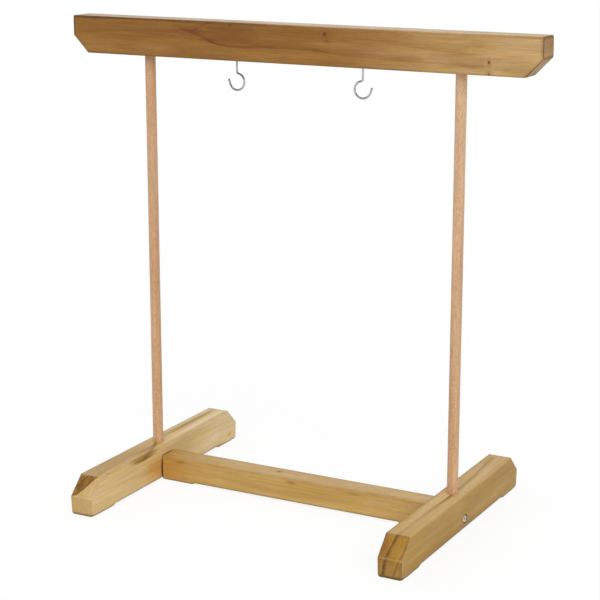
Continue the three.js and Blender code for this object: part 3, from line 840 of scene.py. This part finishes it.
rightFoot = {
    **foot, "seed": 7.7,
    "pale": paint(184, 143, 60), "mid": paint(171, 130, 50), "dark": paint(104, 70, 26),
    "late": paint(140, 100, 44), "farTone": paint(172, 134, 72), "fade": (-100, 330, 0.5),
    "pith": (0, 78, 0), "ringGap": 4.2, "streakDepth": 0.12, "poreDepth": 0.2,
    "zones": [
        ((-60, -28, -38), (360, 30, 34), 0.8, (154, 112, 8), *soft),
        ((-332, 0, -26), (12, 40, 30), 0.35, (186, 158, 116), *soft),
        ((30, -28, -28), (40, 30, 12), 0.4, (128, 92, 38)),
        ((-312, 22, 20), (40, 18, 40), 0.6, (146, 90, 30), *soft),
        # painted sheen: the top face is made paler all over
        ((0, -6, 43), (700, 70, 4), 0.8, (208, 176, 120), *plain),
        # painted shade round the stretcher's end
        ((0, 28, 17), (33, 5, 4), 0.7, (110, 66, 20), 0.05, "Patch"),
        ((-28, 28, -16), (7, 8, 36), 0.9, (96, 54, 12), 0.03, "Core"),
        ((28, 28, -16), (7, 8, 36), 0.9, (96, 54, 12), 0.03, "Core"),
    ],
    "sheets": [
        {"across": "y", "face": 43, "lean": 0.16, "side": -1, "crisp": 3.5, "fading": 10, "reach": 14,
         "ease": 4, "shade": 0.3, "shadeEnd": (540, 600),
         "colour": paint(94, 62, 26), "tint": paint(150, 106, 46),
         "shares": [(-336, 0.85), (-292, 0.8), (-280, 0.2), (-240, 0.15), (-100, 0.3), (-30, 0.65), (20, 0.5),
                    (100, 0.3), (200, 0.3), (270, 0.2)],
         "points": [(-336, 5), (-280, 2), (-160, 0), (-60, -2), (-10, -3.5), (30, -2), (120, 1.5), (200, 8),
                    (270, 11)]},
        {"across": "y", "face": -21, "lean": 0.36, "side": -1, "crisp": 1.5, "fading": 6, "reach": 12,
         "ease": 2, "shade": 0.1, "shadeEnd": (540, 600),
         "colour": paint(96, 58, 16), "tint": paint(140, 92, 36),
         "shares": [(-336, 0.5), (-315, 0.4), (-300, 0.1)],
         "points": [(-336, -12), (-320, -12), (-296, -12)]},
    ],
    "endTone": paint(240, 234, 228), "edgeTone": paint(96, 62, 20), "edgeDepth": 0.6,
    "underTone": paint(92, 70, 34), "underShadeDepth": 0.7, "arrisShadingTone": paint(190, 152, 92),
    "rubTone": paint(204, 168, 110), "rubDepth": 0.25,
}


# Feet and stretcher stand on pads left by a shallow relief
def undersideCorners(piece, half, middle):
    inner = half - piece["pad"]
    top, run, toe = piece["relief"] - middle, piece["reliefRun"], piece["toe"]
    return [(-half, -middle, toe), (-inner, -middle, toe), (-inner + run, top, run),
            (inner - run, top, run), (inner, -middle, toe), (half, -middle, toe)]


# A foot lies along Y, so its own x is the frame's y
def makeFoot(word, side, settings):
    node = word + "_foot"
    centre, size = boxOf(node)
    half, middle, width = size.y / 2, size.z / 2, size.x
    corners = undersideCorners(settings, half, middle)
    corners += [(x, z, settings["round"]) for x, z in (
        (half, middle - settings["cutDrop"]), (half - settings["cutRun"], middle),
        (-half + settings["cutRun"], middle), (-half, middle - settings["cutDrop"]))]
    outer = -side * width / 2
    bolt, dowel = offsetOf(node + "_bolt", node), offsetOf(word + "_locating_dowel", node)
    boltMouth, dowelMouth = (bolt.y, outer, bolt.z), (dowel.y, -outer, dowel.z)
    holes = [
        holeMesh((0, 0, middle), (0, 0, -1), *settings["socket"]),
        holeMesh(boltMouth, (0, side, 0), joint["counterbore"], joint["counterboreDepth"]),
        holeMesh(boltMouth, (0, side, 0), joint["boltHole"], width + 2),
        holeMesh(dowelMouth, (0, -side, 0), joint["dowelHole"], joint["dowelHoleDepth"]),
    ]
    toes = [(end * half, -middle, settings["knock"], settings["knockReach"], (-1, 1)) for end in (-1, 1)]
    mesh = boardMesh(node + "_board", settings, corners, width, holes, toes)
    timber = boardMaterial(word + "FootTimber", settings, -middle)
    settle(finishMesh(node + "_board", mesh, timber), centre, quarterTurn, "base", "base_timber", node)


makeFoot("left", -1, leftFoot)
makeFoot("right", 1, rightFoot)

# Stretcher
stretcher = {
    **board, "pad": 84, "relief": 3.5, "reliefRun": 10, "arris": 2, "round": 2.8, "toe": 5, "seed": 2.2,
    "pale": paint(196, 160, 94), "mid": paint(184, 146, 80), "dark": paint(124, 84, 32),
    "late": paint(152, 110, 50), "farTone": paint(176, 130, 64), "fade": (-150, -360, 0.4),
    "pith": (0, 60, -25), "ringGap": 3.8, "waver": 5, "streakDepth": 0.11, "hueDrift": 0.12,
    "poreDepth": 0.22,
    "zones": [
        ((-364, -30, -4), (112, 24, 60), 0.55, (178, 128, 42), *soft),
        ((-364, 0, 30), (40, 60, 10), 0.4, (176, 126, 58), 0.25, "Patch"),
        ((300, 4, 30), (80, 40, 5), 0.5, (212, 182, 134), *soft),
        ((250, -28, 14), (140, 30, 22), 0.4, (206, 176, 118)),
        ((-75, -28, -22), (60, 20, 9), 0.3, (200, 152, 116), 0.35, "Patch"),
        ((255, -28, -14), (34, 20, 9), 0.35, (202, 152, 112), 0.35, "Patch"),
        ((-200, -28, 0), (24, 30, 30), 0.45, (198, 164, 92), *soft),
        # painted sheen: the top face is made paler all over
        ((80, 0, 30), (500, 50, 4), 0.5, (206, 174, 126), *soft),
        # painted highlight on the rounded arris of the left end
        ((-357, -28, 0), (3, 6, 60), 0.4, (210, 160, 92), *plain),
        # painted shade at both ends, where the stretcher meets the feet
        ((-365, -28, 0), (7, 10, 60), 0.95, (100, 56, 12), 0.05, "Patch"),
        ((364, 28, 0), (4.5, 10, 60), 0.95, (100, 56, 12), 0.05, "Patch"),
    ],
    "knots": [
        ((-312, -28, 21), (19, 14, 5), 0.5), ((-6, -28, 21), (21, 14, 5.5), 0.5),
        ((158, -28, 21), (24, 14, 5), 0.34),
        ((-55, 4, 30), (9, 7, 16), 0.8), ((258, -20, 30), (5, 4, 12), 0.35),
    ],
    "knotCore": paint(122, 82, 28), "knotRim": paint(156, 112, 48), "knotShade": 2.2, "knotSwirl": 3,
    "endTone": paint(214, 208, 196), "edgeTone": paint(98, 62, 22), "edgeDepth": 0.6,
    "underTone": paint(100, 80, 44), "underShadeDepth": 0.45, "cutLine": 0, "cutWearAndLight": 0.0,
    "arrisShadingTone": paint(150, 108, 50), "rubTone": paint(208, 172, 112), "rubDepth": 0.2,
}


def makeStretcher():
    centre, size = boxOf("stretcher")
    half, middle = size.x / 2, size.z / 2
    corners = undersideCorners(stretcher, half, middle)
    corners += [(half, middle, stretcher["round"]), (-half, middle, stretcher["round"])]
    holes = []
    for word, side in sides:
        bolt = offsetOf(word + "_foot_bolt", "stretcher")
        dowel = offsetOf(word + "_locating_dowel", "stretcher")
        nut = offsetOf(word + "_barrel_nut", "stretcher")
        end, inward = side * half, (-side, 0, 0)
        holes.append(holeMesh((end, bolt.y, bolt.z), inward, joint["boltHole"], joint["boltReach"]))
        holes.append(holeMesh((end, dowel.y, dowel.z), inward, joint["dowelHole"], joint["dowelHoleDepth"]))
        holes.append(holeMesh((nut.x, nut.y, -middle), (0, 0, 1), joint["nutHole"], joint["nutHoleTop"]))
    mesh = boardMesh("stretcher_board", stretcher, corners, size.y, holes)
    timber = boardMaterial("stretcherTimber", stretcher, -middle)
    settle(finishMesh("stretcher_board", mesh, timber), centre, noTurn, "base", "base_timber", "stretcher")


makeStretcher()
print("feet and stretcher built")

# Posts. The right one is brightened towards its head by painted light, where the beam's shadow falls, and
# its turn, in radians, shows another side
post = {
    "radius": 12.5, "chamfer": 1.5, "sides": 96, "soften": 4,
    "pale": paint(214, 174, 136), "mid": paint(204, 160, 120), "late": paint(184, 134, 96),
    "fleck": paint(140, 88, 50), "pith": (0, 30, 14), "ringGap": 2.6, "waver": 4, "ringDepth": 0.35,
    "streakDepth": 0.15, "fleckDepth": 0.75, "footTint": (0.96, 0.93, 0.84, 1), "footReach": (60, -300),
    "headLightTint": (1.0, 1.0, 1.0, 1), "headLightReach": (60, 430), "sheen": (0.40, 0.54), "fuzz": 0.25, "bump": 0.3,
}
rightPost = {**post, "headLightTint": (1.16, 1.30, 1.44, 1), "turn": 2.1}


def makePost(word, timber, turn):
    centre, size = boxOf(word + "_post")
    half, radius, chamfer = size.z / 2, post["radius"], post["chamfer"]
    profile = mirrored([(-half, 0, 0), (-half, radius - chamfer, 1), (chamfer - half, radius, 1),
                        (chamfer + post["soften"] - half, radius, 0)])
    rod = finishMesh(word + "_post_rod", turnedMesh(word + "_post_rod", profile, post["sides"]), timber)
    settle(rod, centre, turn, word + "_post", "beech", word + "_post")


beech = beechMaterial("beech", post)
makePost("left", beech, upright)
makePost("right", beechMaterial("headLitBeech", rightPost), upright @ Matrix.Rotation(rightPost["turn"], 4, "X"))
print("posts built")

# Screw hooks, swept along the bent wire's centre line with a wood thread cut into the hidden end.
# The ring's end and the turns are in degrees
hook = {
    "wire": 2.5, "ring": 19, "bend": 4.5, "drop": 50, "tipRun": 10, "screw": 26, "point": 5, "ringEnd": 342,
    "pitch": 2, "threadDepth": 0.55, "flank": 2.4, "plainNeck": 3, "pointSize": 0.04, "tipRound": 0.9,
    "tipSize": 0.05, "sides": 24, "step": 0.25, "bendStep": 0.8, "neckSteps": 12, "tipSteps": 6,
    "turns": {"left": 179, "right": 5},
    "bright": paint(194, 193, 194), "dull": paint(170, 169, 170), "spot": paint(130, 130, 130),
    "cloudSize": 6, "rough": (0.14, 0.24), "bump": 0.2,
}


# The wire's centre line from the point down: place, direction and radius at each step
def hookStations():
    wire, ring, bend, drop = hook["wire"], hook["ring"], hook["bend"], hook["drop"]
    down = (0, -1)
    stations = []
    count = round(hook["point"] / hook["step"])
    for i in range(count + 1):
        thickness = wire * (hook["pointSize"] + (1 - hook["pointSize"]) * i / count)
        stations.append(((0, hook["screw"] + hook["point"] * (1 - i / count)), down, thickness))
    count = round(hook["screw"] / hook["step"])
    stations += [((0, hook["screw"] * (1 - i / count)), down, wire) for i in range(1, count + 1)]
    bendHeight = -drop + sqrt(ring * (ring + 2 * bend))
    count = hook["neckSteps"]
    stations += [((0, bendHeight * i / count), down, wire) for i in range(1, count + 1)]
    startAngle = atan2(bendHeight + drop, -bend)
    endAngle = radians(hook["ringEnd"])
    count = ceil(bend * (pi - startAngle) / (hook["bendStep"] / 2))
    for i in range(1, count + 1):
        angle = (startAngle - pi) * i / count
        place = (-bend + bend * cos(angle), bendHeight + bend * sin(angle))
        stations.append((place, (sin(angle), -cos(angle)), wire))
    count = ceil(ring * (endAngle - startAngle) / hook["bendStep"])
    for i in range(1, count + 1):
        angle = startAngle + (endAngle - startAngle) * i / count
        stations.append(((ring * cos(angle), -drop + ring * sin(angle)), (-sin(angle), cos(angle)), wire))
    (x, z), way = stations[-1][:2]
    count = hook["tipSteps"]
    for i in range(1, 2 * count + 1):
        angle = pi / 2 * max(0, i - count) / count
        run = hook["tipRun"] * min(1, i / count) + wire * sin(angle) * hook["tipRound"]
        stations.append(((x + way[0] * run, z + way[1] * run), way, max(hook["tipSize"], wire * cos(angle))))
    return stations


def hookMesh(name):
    rows = []
    for (x, z), (wayX, wayZ), radius in hookStations():
        row = []
        deep = min(1.0, max(0.0, z - hook["plainNeck"]) / hook["pitch"]) * hook["threadDepth"] / hook["wire"]
        for i in range(hook["sides"]):
            angle = 2 * pi * i / hook["sides"]
            phase = (z / hook["pitch"] + i / hook["sides"]) % 1.0
            size = radius * (1 - deep * min(1.0, hook["flank"] * abs(phase - 0.5)))
            out = size * cos(angle)
            row.append(((x - wayZ * out) * mm, size * sin(angle) * mm, (z + wayX * out) * mm, 0.0))
        rows.append(row)
    return skinned(name, rows, capped=True)


hookZinc = platedMaterial("hookZinc", hook)
for word, side in sides:
    wire = finishMesh(word + "_hook_wire", hookMesh(word + "_hook_wire"), hookZinc)
    place = Vector((side * beam["hookSpacing"] / 2 * mm, 0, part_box("top_beam")[0].z))
    turn = Matrix.Rotation(radians(hook["turns"][word]), 4, "Z")
    settle(wire, place, turn, word + "_hook", "hook_plating", word + "_hook")
print("hooks built")

# Fastenings, each turned about its own X axis with +X away from the stretcher
bolt = {
    "radius": 5, "length": 90, "point": 1.2, "threadLength": 32, "pitch": 1.5, "threadDepth": 0.8,
    "flank": 2.2, "endRound": 0.3, "endCut": 0.9, "fadeSteps": 8, "threadStep": 0.25, "neck": 0.6,
    "neckOut": 0.5, "head": 8, "headHeight": 10, "headChamfer": 1, "seatChamfer": 0.4, "knurls": 24,
    "knurlDepth": 0.12, "knurlFrom": 1.0, "knurlTo": 2.2, "knurlFade": 1.6, "hexAcross": 8, "hexDepth": 5,
    "hexLead": 0.5, "drillPoint": 1.6, "sides": 48,
    "bright": paint(226, 221, 220), "dull": paint(198, 193, 192), "spot": paint(132, 130, 126),
    "cloudSize": 4, "rough": (0.24, 0.40), "bump": 0.3,
}
washer = {"outer": 10, "inner": 5.5, "thickness": 2, "edge": 0.3, "sides": 64}
nut = {"radius": 7.5, "length": 24, "chamfer": 0.8, "hole": 5.3, "flare": 0.4, "slotWidth": 2,
       "slotDepth": 2.5, "sides": 64}
dowel = {"radius": 5, "length": 40, "chamfer": 1.2, "flutes": 16, "fluteDepth": 0.35, "sides": 96}


def hexRadius(angle):
    return bolt["hexAcross"] / 2 / cos((angle % (pi / 3)) - pi / 6)


def knurlRadius(angle):
    return bolt["head"] - bolt["knurlDepth"] * (0.5 + 0.5 * cos(bolt["knurls"] * angle))


def threadRadius(x, cut):
    def radius(angle):
        phase = (x / bolt["pitch"] + angle / (2 * pi)) % 1.0
        return bolt["radius"] - cut * bolt["threadDepth"] * min(1.0, bolt["flank"] * abs(phase - 0.5))
    return radius


def boltMesh(name):
    length, size, head, high = bolt["length"], bolt["radius"], bolt["head"], bolt["headHeight"]
    seat, chamfer, lead = bolt["seatChamfer"], bolt["headChamfer"], bolt["hexLead"]
    start = bolt["point"] - length
    rows = [(-length, 0, 0), (-length, size - bolt["threadDepth"] - bolt["endRound"], 1),
            (start, threadRadius(-length, bolt["endCut"]), 0)]
    count = round(bolt["threadLength"] / bolt["threadStep"])
    for i in range(1, count + 1):
        x = start + (bolt["threadLength"] - bolt["point"]) * i / count
        rows.append((x, threadRadius(x, min(1.0, (count - i) / bolt["fadeSteps"])), 0))
    rows += [(-bolt["neck"], size, 0), (0, size + bolt["neckOut"], 0), (0, head - seat, 1), (seat, head, 1)]
    rows += [(bolt["knurlFrom"], knurlRadius, 0), (high - bolt["knurlTo"], knurlRadius, 0)]
    rows += [(high - bolt["knurlFade"], head, 0), (high - chamfer, head, 1), (high, head - chamfer, 1)]
    floorOfHex = high - bolt["hexDepth"]
    rows += [(high, hexRadius(0) + lead, 1), (high - lead, hexRadius, 1), (floorOfHex, hexRadius, 0)]
    rows += [(floorOfHex - bolt["drillPoint"], 0, 0)]
    return turnedMesh(name, rows, bolt["sides"])


def washerMesh(name):
    out, inside, thick, edge = washer["outer"], washer["inner"], washer["thickness"], washer["edge"]
    rows = [(0, inside + edge), (0, out - edge), (edge, out), (thick - edge, out), (thick, out - edge),
            (thick, inside + edge), (thick - edge, inside), (edge, inside)]
    return turnedMesh(name, [(x, radius, 1) for x, radius in rows], washer["sides"], closed=True)


def nutMesh(name):
    half, size, chamfer = nut["length"] / 2, nut["radius"], nut["chamfer"]
    profile = mirrored([(-half, 0, 0), (-half, size - chamfer, 1), (chamfer - half, size, 1)])
    crossHole = holeMesh((0, 0, -size), (0, 0, 1), nut["hole"], 2 * size + 2, nut["flare"])
    slot = bpy.data.meshes.new("slot")
    bm = bmesh.new()
    bmesh.ops.create_cube(bm, size=mm)
    bmesh.ops.scale(bm, vec=(2 * nut["slotDepth"], nut["slotWidth"], 3 * size), verts=bm.verts)
    bmesh.ops.translate(bm, vec=(-half * mm, 0, 0), verts=bm.verts)
    bm.to_mesh(slot)
    bm.free()
    return cutHoles(turnedMesh(name, profile, nut["sides"]), [crossHole, slot])


def dowelMesh(name):
    half, size, chamfer = dowel["length"] / 2, dowel["radius"], dowel["chamfer"]

    def fluted(angle):
        return size - dowel["fluteDepth"] * max(0.0, cos(dowel["flutes"] * angle)) ** 2

    profile = mirrored([(-half, 0, 0), (-half, size - chamfer, 1), (chamfer - half, fluted, 0)])
    return turnedMesh(name, profile, dowel["sides"])


boltZinc = platedMaterial("boltZinc", bolt)
for word, side in sides:
    outward = noTurn if side > 0 else halfTurn
    centre, size = boxOf(word + "_foot_washer")
    seat = centre - Vector((side * size.x / 2 * mm, 0, 0))
    face = seat + Vector((side * washer["thickness"] * mm, 0, 0))
    ring = finishMesh(word + "_washer", washerMesh(word + "_washer"), boltZinc)
    settle(ring, seat, outward, "base", "fastener_steel", word + "_foot_washer")
    screw = finishMesh(word + "_bolt", boltMesh(word + "_bolt"), boltZinc)
    settle(screw, face, outward, "base", "fastener_steel", word + "_foot_bolt")
    barrel = finishMesh(word + "_cross_nut", nutMesh(word + "_cross_nut"), boltZinc)
    settle(barrel, boxOf(word + "_barrel_nut")[0], upright, "base", "fastener_steel", word + "_barrel_nut")
    pin = finishMesh(word + "_dowel", dowelMesh(word + "_dowel"), beech)
    settle(pin, boxOf(word + "_locating_dowel")[0], outward, "base", "beech", word + "_locating_dowel")
print("fastenings built")

# Floor and background: white to the camera and in reflections, and the floor keeps the soft
# shadow. The floor's size is in metres
stage = {"size": 60, "gap": 0.1, "albedo": (0.8, 0.8, 0.8, 1), "plainShare": 0.2,
         "white": (0.84, 0.84, 0.84, 1), "worldGrey": 0.55}


def whiteRays(tree):
    rays = add(tree, "LightPath").outputs
    seen = calc(tree, "MAXIMUM", rays["Is Camera Ray"], rays["Is Glossy Ray"])
    return calc(tree, "MAXIMUM", seen, rays["Is Transmission Ray"])


def floorMaterial():
    material, tree = newMaterial("paleFloor")
    plain = add(tree, "BsdfDiffuse", {"Color": stage["albedo"]}).outputs[0]
    dim = add(tree, "BsdfDiffuse", {"Color": [v * stage["plainShare"] for v in stage["albedo"]]}).outputs[0]
    glow = add(tree, "Emission", {"Color": stage["white"], "Strength": 1.0}).outputs[0]
    lit = add(tree, "AddShader", {0: dim, 1: glow}).outputs[0]
    seen = add(tree, "MixShader", {0: whiteRays(tree), 1: plain, 2: lit}).outputs[0]
    fromBelow = add(tree, "NewGeometry").outputs["Backfacing"]
    clear = add(tree, "BsdfTransparent").outputs[0]
    oneSided = add(tree, "MixShader", {0: fromBelow, 1: seen, 2: clear}).outputs[0]
    add(tree, "OutputMaterial", {"Surface": oneSided})
    return material


def makeFloor():
    mesh = bpy.data.meshes.new("floor")
    reach, down = stage["size"] / 2, -stage["gap"] * mm
    corners = [(-reach, -reach, down), (reach, -reach, down), (reach, reach, down), (-reach, reach, down)]
    mesh.from_pydata(corners, [], [(0, 1, 2, 3)])
    mesh.materials.append(floorMaterial())
    floorPlane = newObject("floor", mesh)


def makeWorld():
    world = bpy.data.worlds.new("studio")
    bpy.context.scene.world = world
    world.use_nodes = True
    tree = world.node_tree
    tree.nodes.clear()
    strength = plus(tree, times(tree, whiteRays(tree), 1.0 - stage["worldGrey"]), stage["worldGrey"])
    light = add(tree, "Background", {"Color": (1, 1, 1, 1), "Strength": strength})
    add(tree, "OutputWorld", {"Surface": light.outputs[0]})


def addSun(name, towards, strength, spread):
    lamp = bpy.data.lights.new(name, "SUN")
    lamp.energy = strength
    lamp.angle = radians(spread)
    newObject(name, lamp).rotation_euler = Vector(towards).to_track_quat("Z", "Y").to_euler()


# A dark band high round the studio that only reflections see, so that bright wire has a dark edge. In metres
band = {"radius": 6, "low": 3.0, "high": 8.5, "sides": 48, "grey": (0.02, 0.02, 0.02, 1)}


def makeDarkBand():
    material = bpy.data.materials.new("darkCloth")
    material.use_nodes = True
    material.node_tree.nodes["Principled BSDF"].inputs["Base Color"].default_value = band["grey"]
    mesh = bpy.data.meshes.new("dark_band")
    count = band["sides"]
    angles = [2 * pi * i / count for i in range(count)]
    points = [(band["radius"] * cos(angle), band["radius"] * sin(angle), z)
              for z in (band["low"], band["high"]) for angle in angles]
    faces = [(i, (i + 1) % count, count + (i + 1) % count, count + i) for i in range(count)]
    mesh.from_pydata(points, [], faces)
    mesh.materials.append(material)
    obj = newObject("dark_band", mesh)
    obj.visible_camera = obj.visible_diffuse = obj.visible_shadow = obj.visible_transmission = False


makeFloor()
makeWorld()
makeDarkBand()
addSun("keyLamp", (0.40, -0.62, 0.68), 1.75, 50)
addSun("sideLamp", (-0.8, 0.3, 0.5), 0.3, 60)

# Camera, fitted to the photograph's viewing angle. Its place is in metres and its turns are in degrees
shot = {"lens": 104.26, "sensor": 36, "turn": 28.124, "tilt": 13.940, "place": (1.8307, -3.4193, 1.4501)}
lens = bpy.data.cameras.new("camera")
lens.lens = shot["lens"]
lens.sensor_width = shot["sensor"]
lens.clip_end = 200
camera = newObject("camera", lens)
camera.location = shot["place"]
camera.rotation_euler = (radians(90 - shot["tilt"]), 0, radians(shot["turn"]))
bpy.context.scene.camera = camera
bpy.context.scene.view_settings.view_transform = "Standard"
print("stage, lamps and camera set")

bpy.context.view_layer.update()
